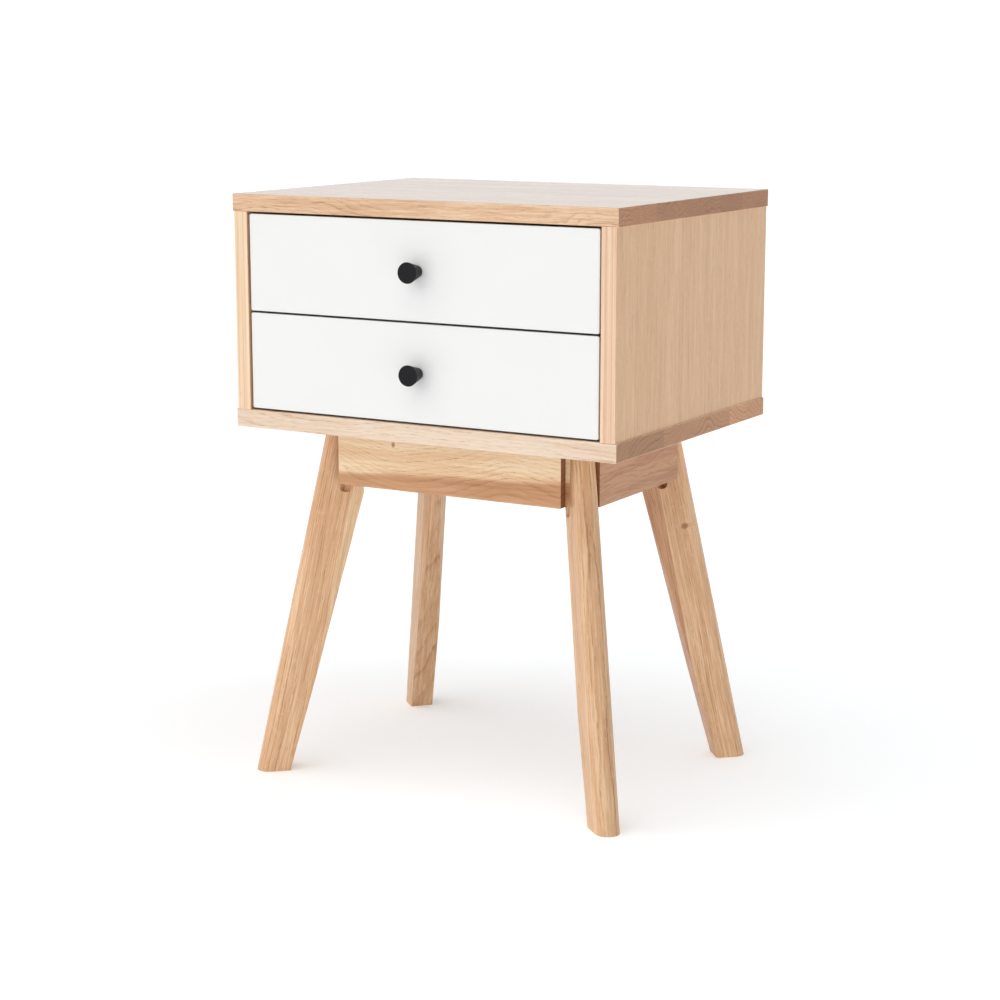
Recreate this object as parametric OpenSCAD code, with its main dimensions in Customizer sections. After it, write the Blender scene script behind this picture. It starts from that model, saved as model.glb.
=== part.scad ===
// Bedside cabinet: an oak case with two drawers on ball runners, standing on a base frame of four
// aprons and four splayed legs. The origin is on the floor under the middle of the whole object,
// the drawers open towards -Y and +Z is up. All sizes are in millimetres.

/* [Case] */
// Width over the top and bottom panels
cabinet_w = 450; // [430:5:520]
// Depth of the case, without the knobs
cabinet_d = 350; // [348:2:400]
// Height from the floor to the top
cabinet_h = 625; // [600:5:680]
// Height of the case with its top and bottom panels
case_h = 244; // [236:2:280]
// Thickness of the top panel
top_t = 18; // [16:1:20]
// Thickness of the bottom panel
bottom_t = 19; // [17:1:21]
// Thickness of each side panel
side_t = 16; // [16:1:18]
// How far the top and bottom panels reach past the side panels
overhang = 2; // [0:0.5:4]
// Thickness of the back panel
back_t = 8; // [6:1:10]

/* [Drawers] */
// Thickness of the drawer fronts
front_t = 18; // [16:1:19]
// Gap above, below and between the drawer fronts
front_gap = 2.2; // [1.5:0.1:3]
// Gap at each side of the drawer fronts
front_side_gap = 2.5; // [1.5:0.1:3]
// How far the fronts sit behind the front edges of the case
front_recess = 1.5; // [0.5:0.5:3]
// Depth of the drawer boxes
box_d = 300; // [300:1:304]
// Height of the drawer boxes
box_h = 75; // [70:1:78]
// Thickness of the drawer box sides and back
box_t = 12; // [12:1:13]
// Thickness of the drawer bottoms
box_bottom_t = 5; // [4:0.5:6]

/* [Knobs] */
// Length of each knob
knob_l = 20; // [16:1:26]
// Diameter of the flat face of each knob
knob_face_d = 21.5; // [18:0.5:26]
// Diameter of each knob where it meets the drawer front
knob_base_d = 12; // [10:0.5:14]

/* [Base frame] */
// Height of the aprons
apron_h = 63; // [60:1:66]
// Thickness of the aprons
apron_t = 21; // [20:0.5:22]
// Length of the front and back aprons between their square ends
apron_long = 269; // [265:1:273]
// Length of the side aprons between their square ends
apron_short = 180; // [176:1:182]
// Half the distance over the outer faces of the front and back aprons
apron_y = 117.2; // [116:0.1:118]
// Half the distance over the outer faces of the side aprons
apron_x = 164.5; // [163.5:0.1:165.5]

/* [Legs] */
// Thickness of each leg between its flat side faces
leg_t = 26; // [25:0.5:27]
// Angle of each leg's flat faces from the side-to-side direction
leg_turn = 42; // [41:0.5:43]
// Outward run of the round outer edge for each unit of height
nose_slope = 0.22; // [0.2:0.01:0.24]
// Outward run of the flat inner edge for each unit of height
taper_slope = 0.285; // [0.27:0.005:0.3]

/* [Hidden] */
$fn = 48;

// Fits
fit = 0.05;          // clearance between a fastener and its hole, and along each joint
loose = 0.25;        // extra radius of a hole that a screw or bolt only passes through
play = 0.5;          // extra depth at the blind end of a hole
reach = 1;           // how far a cutting shape passes the surface that it opens
head_bevel = 0.6;    // sloped edge of the pan heads
drive_w = 3.6;       // cross recess in the screw heads: width over its arms
drive_slot = 0.9;    // width of each arm
drive_deep = 1.2;    // depth

// Colours
oak = "burlywood";
oak_side = "tan";
oak_leg = "peru";
birch = "wheat";
white_paint = "whitesmoke";
black = "#2c2b2e";
steel = "silver";
zinc = "lightgray";

// Case levels and faces
case_z = cabinet_h - case_h;
inner_z0 = case_z + bottom_t;
inner_z1 = cabinet_h - top_t;
inner_h = inner_z1 - inner_z0;
inner_x = cabinet_w / 2 - overhang - side_t;
front_y = (knob_l - front_recess - cabinet_d) / 2;
back_y = front_y + cabinet_d;
mid_y = (front_y + back_y) / 2;
edge_x = inner_x + side_t / 2;

// Case joints
dowel_r = 4;
dowel_in_panel = 12;
dowel_in_side = 18;
dowel_from_front = 40;
dowel_from_back = 50;
dowel_ys = [front_y + dowel_from_front, mid_y, back_y - dowel_from_back];
cam_from_front = 70;
cam_from_back = 80;
cam_ys = [front_y + cam_from_front, back_y - cam_from_back];
cam_r = 7.4;
cam_deep = 12.5;
cam_reach = 24;
cam_bolt_r = 3;
cam_bolt_in_panel = 11;
cam_head_r = 3.4;
cam_head_l = 3;
cam_neck_r = 2;
cam_slot_r = 3.6;
cam_neck_l = cam_r + 2;
cam_cross = [4, 6.5, 1.2];

// Back panel
rebate_w = 8;
back_screw_margin = 20;
back_screw_gaps = 3;
back_screw_pitch = (inner_h - 2 * back_screw_margin) / back_screw_gaps;
back_screw_zs = [for (i = [0:back_screw_gaps]) inner_z0 + back_screw_margin + i * back_screw_pitch];
back_screw_l = 26;
screw_r = 1.75;
screw_head_r = 3.2;
countersink_h = 2;

// Drawer fronts and boxes
fronts_y = front_y + front_recess;
box_y0 = fronts_y + front_t;
box_y1 = box_y0 + box_d;
front_w = 2 * (inner_x - front_side_gap);
front_h = (inner_h - 3 * front_gap) / 2;
front_corner_r = 2;
lower_z = inner_z0 + front_gap;
upper_z = lower_z + front_h + front_gap;
runner_t = 13;
box_x = inner_x - runner_t;
box_inner_x = box_x - box_t;
box_lift = 10;
groove_deep = 6;
bottom_lift = 9;
bottom_play = 0.3;
box_dowel_r = 3;
box_dowel_l = 24;
box_dowel_in_front = 11;
box_joint_low = 24;
box_joint_high = 14;
box_joint_zs = [box_lift + box_joint_low, box_lift + box_h - box_joint_high];
box_screw_l = 34;

// Knobs and their screws
knob_lip = 1.2;
knob_bevel = 0.4;
knob_bore_l = 12;
knob_screw_r = 2;
knob_screw_l = front_t + knob_bore_l - 1;
knob_head_r = 4;
knob_head_h = 2.4;

// Runners: each profile is [distance from the side panel, height from the runner's middle]
runner_l = 300;
runner_y0 = box_y0 + 2;
runner_lift = box_lift + box_h / 2;
sheet = 1.2;
slip = 0.1;
rail_case_h = 45;
rail_case_w = 9.6;
rail_case_lip = 2.8;
rail_middle_x0 = 3.2;
rail_middle_x1 = rail_case_w - sheet - slip;
rail_middle_half = rail_case_h / 2 - sheet - slip;
rail_middle_lip = 5.6;
rail_drawer_lip_x = 5.8;
rail_drawer_half = rail_middle_half - sheet - rail_middle_lip - slip;
rail_drawer_lip_half = rail_middle_half - sheet - slip;
runner_screw_ys = [30, 150, 270];
runner_head_r = 3.4;
runner_head_h = 1.6;
runner_screw_in_side = 12;
runner_screw_in_box = 9;

// Base frame: measured from its own middle, with X and Y outward at each corner
base_forward = 2.5;
base_y = mid_y - base_forward;
apron_z = case_z - apron_h;
apron_corner_r = 1.5;
tenon_t = 9;
tenon_shoulder = 10;
tenon_long_l = 7;
tenon_long_back = 25;
tenon_short_back = 35;
groove_beyond = 5;
groove_below = 11;

// Legs: u runs outward along the flat faces and v across them, from a reference point on the
// axis of the round outer edge at height leg_ref_z
leg_ref_x = 162;
leg_ref_y = 110;
leg_ref_z = 280;
shoulder_u = -25;       // where the flat sides start to narrow towards the inner edge
shoulder_slope = 0.2;
point_l = 17;           // length of the narrowing part
inner_u = -39.5;        // flat inner edge
seat_u = -46;           // flat seat for the corner bracket
leg_far = 200;          // well past every side of a leg

// Corner fittings
bracket_t = 2.5;
bracket_gap = 1;
bracket_h = 44;
bracket_z = apron_z + 10;
bracket_flange = 26;
bracket_u = seat_u - bracket_gap;
bracket_screw_back = 14;
bracket_screw_zs = [bracket_z + 9, bracket_z + bracket_h - 9];
bracket_screw_in = 14;
bracket_head_r = 3.5;
bracket_head_h = 2.2;
bolt_r = 3;
bolt_z = bracket_z + bracket_h / 2;
bolt_inner_u = -25;
bolt_tail = 14;
washer_r = 9;
washer_t = 1.6;
nut_r = 5.77;
nut_h = 5;

// Screws that hold the case on the base frame
base_screw_xs = [-75, 75];
base_screw_ys = [-42, 42];
base_screw_r = 2.25;
base_screw_in_case = 12;
base_screw_in_apron = 26;
base_head_r = 4.2;
base_head_h = 3;
base_well_r = 5;

// Points where each bracket's diagonal plate meets the inner faces of the aprons
bracket_mid = [leg_ref_x + bracket_u * cos(leg_turn), leg_ref_y + bracket_u * sin(leg_turn)];
bracket_v_long = (apron_y - apron_t - bracket_mid.y) / cos(leg_turn);
bracket_v_short = (apron_x - apron_t - bracket_mid.x) / sin(leg_turn);
bracket_long_x = bracket_mid.x - bracket_v_long * sin(leg_turn);
bracket_short_y = bracket_mid.y - bracket_v_short * cos(leg_turn);

sides = [-1, 1];

// ---------- helpers ----------

// Box from one corner to the opposite one
module block(low, high) {
    translate(low)
        cube(high - low);
}

module flip_x(s) {
    if (s < 0) mirror([1, 0, 0]) children();
    else children();
}

module flip_y(s) {
    if (s < 0) mirror([0, 1, 0]) children();
    else children();
}

// Rod along +X, +Y, or +Z from a point
module rod_x(at, r, l) {
    translate(at)
        rotate([0, 90, 0])
            cylinder(r = r, h = l);
}

module rod_y(at, r, l) {
    translate(at)
        rotate([-90, 0, 0])
            cylinder(r = r, h = l);
}

module rod_z(at, r, l) {
    translate(at)
        cylinder(r = r, h = l);
}

// Rectangle standing in the XZ plane with round corners
module round_plate(w, h, r) {
    union() {
        translate([-w / 2 + r, 0])
            square([w - 2 * r, h]);
        translate([-w / 2, r])
            square([w, h - 2 * r]);
        for (x = [-w / 2 + r, w / 2 - r], z = [r, h - r])
            translate([x, z])
                circle(r = r);
    }
}

// Puts a drawing in the XZ plane and gives it depth towards +Y
module extrude_y(y, depth) {
    translate([0, y + depth, 0])
        rotate([90, 0, 0])
            linear_extrude(height = depth)
                children();
}

// Cross recess of a screw whose head starts at height z
module drive(z) {
    for (turn = [0, 90])
        rotate([0, 0, turn])
            block([-drive_w / 2, -drive_slot / 2, z - reach], [drive_w / 2, drive_slot / 2, z + drive_deep]);
}

// Outline of a countersunk screw along +Z, with its flat head at z = 0 and its tip at z = l
module countersunk(r, head_r, head_h, l) {
    rotate_extrude()
        polygon([[0, 0], [head_r, 0], [r, head_h], [r, l - 2 * r], [0, l]]);
}

module wood_screw(r, head_r, head_h, l) {
    difference() {
        countersunk(r, head_r, head_h, l);
        drive(0);
    }
}

// The hole for such a screw
module wood_screw_hole(r, head_r, head_h, l) {
    union() {
        countersunk(r + fit, head_r + fit, head_h, l + play);
        translate([0, 0, -reach])
            cylinder(r = head_r + fit, h = reach);
    }
}

// Low pan-head screw along +Z: the head lies below z = 0
module pan_screw(r, head_r, head_h, l) {
    difference() {
        rotate_extrude()
            polygon([[0, -head_h], [head_r - head_bevel, -head_h], [head_r, head_bevel - head_h],
                     [head_r, 0], [r, 0], [r, l - 2 * r], [0, l]]);
        drive(-head_h);
    }
}

// ---------- case ----------

module at_case_dowels() {
    for (s = sides, y = dowel_ys) {
        translate([s * edge_x, y, inner_z1])
            children();
        translate([s * edge_x, y, inner_z0])
            mirror([0, 0, 1])
                children();
    }
}

module at_cams() {
    for (s = sides, y = cam_ys) {
        translate([s * edge_x, y, inner_z1])
            flip_x(s)
                children();
        translate([s * edge_x, y, inner_z0])
            mirror([0, 0, 1])
                flip_x(s)
                    children();
    }
}

module dowel_holes() {
    at_case_dowels()
        rod_z([0, 0, -dowel_in_side - play], dowel_r + fit, dowel_in_side + dowel_in_panel + 2 * play);
}

module cam_bolt() {
    union() {
        rod_z([0, 0, 0], cam_bolt_r, cam_bolt_in_panel);
        rod_z([0, 0, -cam_reach + cam_neck_l], cam_bolt_r, cam_reach - cam_neck_l);
        rod_z([0, 0, -cam_reach + cam_head_l / 2], cam_neck_r, cam_reach);
        rod_z([0, 0, -cam_reach - cam_head_l / 2], cam_head_r, cam_head_l);
    }
}

module cam_bolt_hole() {
    rod_z([0, 0, -cam_reach], cam_head_r + fit, cam_reach);
    rod_z([0, 0, -reach], cam_bolt_r + fit, cam_bolt_in_panel + reach + play);
}

module cam_lock() {
    difference() {
        rod_x([-side_t / 2, 0, -cam_reach], cam_r, cam_deep);
        // passage for the bolt's neck and head
        rod_z([0, 0, -cam_reach - cam_slot_r], cam_slot_r, cam_reach);
        // cross recess for the screwdriver
        translate([-side_t / 2, 0, -cam_reach])
            for (turn = [0, 90])
                rotate([turn, 0, 0])
                    cube(cam_cross, center = true);
    }
}

module cam_lock_hole() {
    rod_x([-side_t / 2 - reach, 0, -cam_reach], cam_r + fit, cam_deep + reach + play);
}

module top_panel() {
    color(oak)
        difference() {
            block([-cabinet_w / 2, front_y, inner_z1], [cabinet_w / 2, back_y, cabinet_h]);
            dowel_holes();
            at_cams()
                cam_bolt_hole();
        }
}

module bottom_panel() {
    color(oak)
        difference() {
            block([-cabinet_w / 2, front_y, case_z], [cabinet_w / 2, back_y, inner_z0]);
            dowel_holes();
            at_cams()
                cam_bolt_hole();
            at_base_screws()
                base_screw_hole();
        }
}

module side_panel(s) {
    color(oak_side)
        difference() {
            flip_x(s)
                difference() {
                    block([inner_x, front_y, inner_z0], [inner_x + side_t, back_y, inner_z1]);
                    block([inner_x - reach, back_y - back_t, inner_z0 - reach],
                          [inner_x + rebate_w, back_y + reach, inner_z1 + reach]);
                }
            dowel_holes();
            at_cams() {
                cam_bolt_hole();
                cam_lock_hole();
            }
            at_back_screws()
                wood_screw_hole(screw_r, screw_head_r, countersink_h, back_screw_l);
            for (z = [lower_z, upper_z])
                at_runner_case_screws(z)
                    runner_screw_hole(runner_screw_in_side);
        }
}

module back_panel() {
    color(oak_side)
        difference() {
            block([-inner_x - rebate_w + fit, back_y - back_t + fit, inner_z0 + fit],
                  [inner_x + rebate_w - fit, back_y, inner_z1 - fit]);
            at_back_screws()
                wood_screw_hole(screw_r, screw_head_r, countersink_h, back_screw_l);
        }
}

module at_back_screws() {
    for (s = sides, z = back_screw_zs)
        translate([s * (inner_x + rebate_w / 2), back_y, z])
            rotate([90, 0, 0])
                children();
}

module back_screws() {
    color(zinc)
        at_back_screws()
            wood_screw(screw_r, screw_head_r, countersink_h, back_screw_l);
}

module case_dowels() {
    color(birch)
        at_case_dowels()
            rod_z([0, 0, -dowel_in_side], dowel_r, dowel_in_side + dowel_in_panel);
}

module cam_bolts() {
    color(steel)
        at_cams()
            cam_bolt();
}

module cam_locks() {
    color(zinc)
        at_cams()
            cam_lock();
}

// ---------- base frame ----------

module at_corner(sx, sy) {
    translate([0, base_y, 0])
        flip_x(sx)
            flip_y(sy)
                children();
}

module at_corners() {
    for (sx = sides, sy = sides)
        at_corner(sx, sy)
            children();
}

// Leg frame at a corner: u along +X, v along +Y, z up from the floor
module leg_frame() {
    translate([leg_ref_x, leg_ref_y, 0])
        rotate([0, 0, leg_turn])
            children();
}

// Leans a prism so that it moves outward by slope for each unit down
module lean(u, slope) {
    translate([u, 0, leg_ref_z])
        rotate([0, -atan(slope), 0])
            translate([0, 0, -leg_far * 2])
                linear_extrude(height = leg_far * 4)
                    children();
}

// The leg before its grooves, in the leg frame
module leg_blank(grow = 0) {
    half = leg_t / 2 + grow;
    spread = point_l / leg_t * 2;
    intersection() {
        lean(0, nose_slope)
            union() {
                circle(r = half);
                translate([-leg_far / 2, -half])
                    square([leg_far / 2, 2 * half]);
            }
        lean(shoulder_u, shoulder_slope)
            polygon([[-point_l - grow, 0], [-point_l + spread * leg_far / 2, -leg_far / 2],
                     [leg_far, -leg_far / 2], [leg_far, leg_far / 2],
                     [-point_l + spread * leg_far / 2, leg_far / 2]]);
        lean(inner_u, taper_slope)
            translate([-grow, -leg_far / 2])
                square([leg_far, leg_far]);
        block([seat_u - grow, -leg_far / 2, 0], [leg_far, leg_far / 2, case_z]);
    }
}

// Stopped groove with a round lower end, for a tenon of the front or back apron
module long_groove() {
    half = tenon_t / 2 + fit * 2;
    mid = apron_y - tenon_shoulder - tenon_t / 2;
    back = tenon_long_back + groove_beyond;
    end_z = apron_z - groove_below + half;
    union() {
        block([apron_long / 2 - back, mid - half, end_z],
              [apron_long / 2 + tenon_long_l + fit, mid + half, case_z + reach]);
        rod_x([apron_long / 2 - back, mid, end_z], half, back + tenon_long_l + fit);
    }
}

// The same for a side apron
module short_groove() {
    half = tenon_t / 2 + fit * 2;
    mid = apron_x - tenon_shoulder - tenon_t / 2;
    back = tenon_short_back + groove_beyond;
    end_z = apron_z - groove_below + half;
    union() {
        block([mid - half, apron_short / 2 - back, end_z],
              [mid + half, apron_short / 2 + fit, case_z + reach]);
        rod_y([mid, apron_short / 2 - back, end_z], half, back + fit);
    }
}

module leg(sx, sy) {
    color(oak_leg)
        at_corner(sx, sy)
            difference() {
                leg_frame()
                    leg_blank();
                long_groove();
                short_groove();
                leg_frame()
                    rod_x([seat_u - reach, 0, bolt_z], bolt_r + fit,
                          bolt_inner_u - seat_u + reach + play);
            }
}

// Board with round lower corners, along X, with its outer face at y = 0
module apron_board(l) {
    translate([0, 0, apron_z])
        extrude_y(-apron_t, apron_t)
            union() {
                translate([-l / 2, apron_corner_r])
                    square([l, apron_h - apron_corner_r]);
                translate([-l / 2 + apron_corner_r, 0])
                    square([l - 2 * apron_corner_r, apron_corner_r + reach]);
                for (x = [-l / 2 + apron_corner_r, l / 2 - apron_corner_r])
                    translate([x, apron_corner_r])
                        circle(r = apron_corner_r);
            }
}

module apron_holes() {
    at_base_screws()
        base_screw_hole();
    at_bracket_screws()
        rod_z([0, 0, -reach], screw_r + fit, bracket_screw_in + reach + bracket_t);
}

module long_apron(sy) {
    color(oak)
        difference() {
            translate([0, base_y, 0])
                flip_y(sy)
                    union() {
                        difference() {
                            translate([0, apron_y, 0])
                                apron_board(apron_long);
                            for (sx = sides)
                                flip_x(sx)
                                    leg_frame()
                                        leg_blank(fit);
                        }
                        for (sx = sides)
                            flip_x(sx)
                                block([apron_long / 2 - tenon_long_back,
                                       apron_y - tenon_shoulder - tenon_t, apron_z + apron_corner_r],
                                      [apron_long / 2 + tenon_long_l, apron_y - tenon_shoulder, case_z]);
                    }
            apron_holes();
        }
}

module short_apron(sx) {
    color(oak)
        difference() {
            translate([0, base_y, 0])
                flip_x(sx)
                    union() {
                        difference() {
                            translate([apron_x, 0, 0])
                                rotate([0, 0, -90])
                                    apron_board(apron_short);
                            for (sy = sides)
                                flip_y(sy)
                                    leg_frame()
                                        leg_blank(fit);
                        }
                        for (sy = sides)
                            flip_y(sy)
                                block([apron_x - tenon_shoulder - tenon_t,
                                       apron_short / 2 - tenon_short_back, apron_z + apron_corner_r],
                                      [apron_x - tenon_shoulder, apron_short / 2, case_z]);
                    }
            apron_holes();
        }
}

module corner_bracket() {
    difference() {
        union() {
            leg_frame()
                block([bracket_u - bracket_t, -bracket_v_short, bracket_z],
                      [bracket_u, bracket_v_long, bracket_z + bracket_h]);
            block([bracket_long_x - bracket_flange, apron_y - apron_t - bracket_t, bracket_z],
                  [bracket_long_x, apron_y - apron_t, bracket_z + bracket_h]);
            block([apron_x - apron_t - bracket_t, bracket_short_y - bracket_flange, bracket_z],
                  [apron_x - apron_t, bracket_short_y, bracket_z + bracket_h]);
        }
        leg_frame()
            rod_x([bracket_u - bracket_t - reach, 0, bolt_z], bolt_r + loose, bracket_t + 2 * reach);
        at_bracket_screws_here()
            rod_z([0, 0, -reach], screw_r + loose, bracket_t + 2 * reach);
    }
}

// Bracket screws of one corner, with the underside of the head at the origin
module at_bracket_screws_here() {
    for (z = bracket_screw_zs) {
        translate([bracket_long_x - bracket_screw_back, apron_y - apron_t - bracket_t, z])
            rotate([-90, 0, 0])
                children();
        translate([apron_x - apron_t - bracket_t, bracket_short_y - bracket_screw_back, z])
            rotate([0, 90, 0])
                children();
    }
}

module at_bracket_screws() {
    at_corners()
        at_bracket_screws_here()
            children();
}

module corner_brackets() {
    color(steel)
        at_corners()
            corner_bracket();
}

module bracket_screws() {
    color(zinc)
        at_bracket_screws()
            pan_screw(screw_r, bracket_head_r, bracket_head_h, bracket_t + bracket_screw_in);
}

module hanger_bolts() {
    color(steel)
        at_corners()
            leg_frame()
                rod_x([bracket_u - bracket_t - bolt_tail, 0, bolt_z], bolt_r,
                      bolt_inner_u - bracket_u + bracket_t + bolt_tail);
}

module hanger_washers() {
    color(zinc)
        at_corners()
            leg_frame()
                difference() {
                    rod_x([bracket_u - bracket_t - washer_t, 0, bolt_z], washer_r, washer_t);
                    rod_x([bracket_u - bracket_t - washer_t - reach, 0, bolt_z], bolt_r + loose,
                          washer_t + 2 * reach);
                }
}

module hanger_nuts() {
    u = bracket_u - bracket_t - washer_t - nut_h;
    color(steel)
        at_corners()
            leg_frame()
                difference() {
                    translate([u, 0, bolt_z])
                        rotate([0, 90, 0])
                            cylinder(r = nut_r, h = nut_h, $fn = 6);
                    rod_x([u - reach, 0, bolt_z], bolt_r + fit, nut_h + 2 * reach);
                }
}

// Screws up through the aprons, with the head's flat at the origin
module at_base_screws() {
    translate([0, base_y, case_z - base_screw_in_apron]) {
        for (sy = sides, x = base_screw_xs)
            translate([x, sy * (apron_y - apron_t / 2), 0])
                children();
        for (sx = sides, y = base_screw_ys)
            translate([sx * (apron_x - apron_t / 2), y, 0])
                children();
    }
}

module base_screw_hole() {
    countersunk(base_screw_r + fit, base_head_r + fit, base_head_h,
                base_screw_in_apron + base_screw_in_case + play);
    rod_z([0, 0, -apron_h], base_well_r, apron_h);
}

module base_screws() {
    color(zinc)
        at_base_screws()
            wood_screw(base_screw_r, base_head_r, base_head_h, base_screw_in_apron + base_screw_in_case);
}

// ---------- drawers ----------

module drawer_front(z) {
    color(white_paint)
        difference() {
            translate([0, 0, z])
                extrude_y(fronts_y, front_t)
                    round_plate(front_w, front_h, front_corner_r);
            // groove for the bottom
            block([-box_inner_x - groove_deep, box_y0 - groove_deep, z + box_lift + bottom_lift],
                  [box_inner_x + groove_deep, box_y0 + reach, z + box_lift + bottom_lift + box_bottom_t]);
            drawer_dowel_holes(z);
            rod_y([0, fronts_y - reach, z + front_h / 2], knob_screw_r + loose, front_t + 2 * reach);
        }
}

module drawer_side(z, s) {
    color(birch)
        difference() {
            flip_x(s)
                difference() {
                    block([box_inner_x, box_y0, z + box_lift], [box_x, box_y1, z + box_lift + box_h]);
                    block([box_inner_x - reach, box_y0 - reach, z + box_lift + bottom_lift],
                          [box_inner_x + groove_deep, box_y1 - box_t / 2,
                           z + box_lift + bottom_lift + box_bottom_t]);
                }
            drawer_dowel_holes(z);
            at_box_screws(z)
                wood_screw_hole(screw_r, screw_head_r, countersink_h, box_screw_l);
            at_runner_drawer_screws(z)
                runner_screw_hole(runner_screw_in_box);
        }
}

module drawer_back(z) {
    color(birch)
        difference() {
            block([-box_inner_x, box_y1 - box_t, z + box_lift],
                  [box_inner_x, box_y1, z + box_lift + box_h]);
            block([-box_inner_x - reach, box_y1 - box_t - reach, z + box_lift + bottom_lift],
                  [box_inner_x + reach, box_y1 - box_t / 2, z + box_lift + bottom_lift + box_bottom_t]);
            at_box_screws(z)
                wood_screw_hole(screw_r, screw_head_r, countersink_h, box_screw_l);
        }
}

module drawer_bottom(z) {
    color(birch)
        block([-box_inner_x - groove_deep + bottom_play, box_y0 - groove_deep + bottom_play,
               z + box_lift + bottom_lift + fit],
              [box_inner_x + groove_deep - bottom_play, box_y1 - box_t / 2 - bottom_play,
               z + box_lift + bottom_lift + box_bottom_t - fit]);
}

module at_drawer_dowels(z) {
    for (s = sides, joint_z = box_joint_zs)
        translate([s * (box_inner_x + box_t / 2), box_y0, z + joint_z])
            children();
}

module drawer_dowel_holes(z) {
    at_drawer_dowels(z)
        rod_y([0, -box_dowel_in_front - play, 0], box_dowel_r + fit, box_dowel_l + 2 * play);
}

module drawer_dowels(z) {
    color(birch)
        at_drawer_dowels(z)
            rod_y([0, -box_dowel_in_front, 0], box_dowel_r, box_dowel_l);
}

// Screws through the sides into the ends of the back
module at_box_screws(z) {
    for (s = sides, joint_z = box_joint_zs)
        translate([0, box_y1 - box_t / 2, z + joint_z])
            flip_x(s)
                translate([box_x, 0, 0])
                    rotate([0, -90, 0])
                        children();
}

module drawer_box_screws(z) {
    color(zinc)
        at_box_screws(z)
            wood_screw(screw_r, screw_head_r, countersink_h, box_screw_l);
}

module drawer_knob(z) {
    color(black)
        translate([0, fronts_y, z + front_h / 2])
            rotate([90, 0, 0])
                rotate_extrude($fn = 96)
                    polygon([[knob_screw_r + fit, 0], [knob_base_d / 2, 0],
                             [knob_face_d / 2, knob_l - knob_lip], [knob_face_d / 2 - knob_bevel, knob_l],
                             [0, knob_l], [0, knob_bore_l], [knob_screw_r + fit, knob_bore_l]]);
}

module drawer_knob_screw(z) {
    color(steel)
        translate([0, box_y0, z + front_h / 2])
            rotate([90, 0, 0])
                difference() {
                    rotate_extrude()
                        polygon([[0, -knob_head_h], [knob_head_r - head_bevel, -knob_head_h],
                                 [knob_head_r, head_bevel - knob_head_h], [knob_head_r, 0],
                                 [knob_screw_r, 0], [knob_screw_r, knob_screw_l], [0, knob_screw_l]]);
                    drive(-knob_head_h);
                }
}

// ---------- runners ----------

// A rail's profile is drawn with X away from the side panel and Y upward
module at_rail(z, s) {
    flip_x(s)
        translate([inner_x, runner_y0 + runner_l, z + runner_lift])
            rotate([90, 0, 0])
                mirror([1, 0, 0])
                    linear_extrude(height = runner_l)
                        children();
}

// Channel with a web at x0, flanges that reach x1 and lips turned towards the middle
module channel(x0, x1, half, lip) {
    union() {
        translate([x0, -half])
            square([sheet, 2 * half]);
        for (up = sides)
            flip_y(up) {
                translate([x0, half - sheet])
                    square([x1 - x0, sheet]);
                translate([x1 - sheet, half - sheet - lip])
                    square([sheet, lip + sheet]);
            }
    }
}

module rail_case(z, s) {
    color(steel)
        difference() {
            at_rail(z, s)
                channel(0, rail_case_w, rail_case_h / 2, rail_case_lip);
            at_runner_case_screws(z)
                rod_z([0, 0, -reach], screw_r + loose, sheet + 2 * reach);
        }
}

module rail_middle(z, s) {
    color(zinc)
        at_rail(z, s)
            channel(rail_middle_x0, rail_middle_x1, rail_middle_half, rail_middle_lip);
}

// Hat-shaped rail: its web is on the drawer and its lips run inside the middle rail
module rail_drawer(z, s) {
    color(steel)
        difference() {
            at_rail(z, s)
                union() {
                    translate([runner_t - sheet, -rail_drawer_half])
                        square([sheet, 2 * rail_drawer_half]);
                    for (up = sides)
                        flip_y(up) {
                            translate([rail_drawer_lip_x, rail_drawer_half - sheet])
                                square([runner_t - rail_drawer_lip_x, sheet]);
                            translate([rail_drawer_lip_x, rail_drawer_half - sheet])
                                square([sheet, rail_drawer_lip_half - rail_drawer_half + sheet]);
                        }
                }
            at_runner_drawer_screws(z)
                rod_z([0, 0, -reach], screw_r + loose, sheet + 2 * reach);
        }
}

// Screws from a case rail into the side panels, with the underside of the head at the origin
module at_runner_case_screws(z) {
    for (s = sides, y = runner_screw_ys)
        flip_x(s)
            translate([inner_x - sheet, runner_y0 + y, z + runner_lift])
                rotate([0, 90, 0])
                    children();
}

// Screws from a drawer rail into the box sides
module at_runner_drawer_screws(z) {
    for (s = sides, y = runner_screw_ys)
        flip_x(s)
            translate([box_x + sheet, runner_y0 + y, z + runner_lift])
                rotate([0, -90, 0])
                    children();
}

module runner_screw_hole(deep) {
    rod_z([0, 0, 0], screw_r + fit, sheet + deep + play);
}

module runner_screw(deep) {
    pan_screw(screw_r, runner_head_r, runner_head_h, sheet + deep);
}

module runner_case_screws() {
    color(zinc)
        for (z = [lower_z, upper_z])
            at_runner_case_screws(z)
                runner_screw(runner_screw_in_side);
}

module runner_drawer_screws(z) {
    color(zinc)
        at_runner_drawer_screws(z)
            runner_screw(runner_screw_in_box);
}

// ---------- nodes ----------

top_panel();
bottom_panel();
side_panel(-1);  // side_panel_left
side_panel(1);  // side_panel_right
back_panel();
case_dowels();
cam_bolts();
cam_locks();
back_screws();

long_apron(-1);  // apron_front
long_apron(1);  // apron_back
short_apron(-1);  // apron_left
short_apron(1);  // apron_right
leg(-1, -1);  // leg_front_left
leg(1, -1);  // leg_front_right
leg(-1, 1);  // leg_back_left
leg(1, 1);  // leg_back_right
corner_brackets();
bracket_screws();
hanger_bolts();
hanger_washers();
hanger_nuts();
base_screws();
runner_case_screws();

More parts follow.
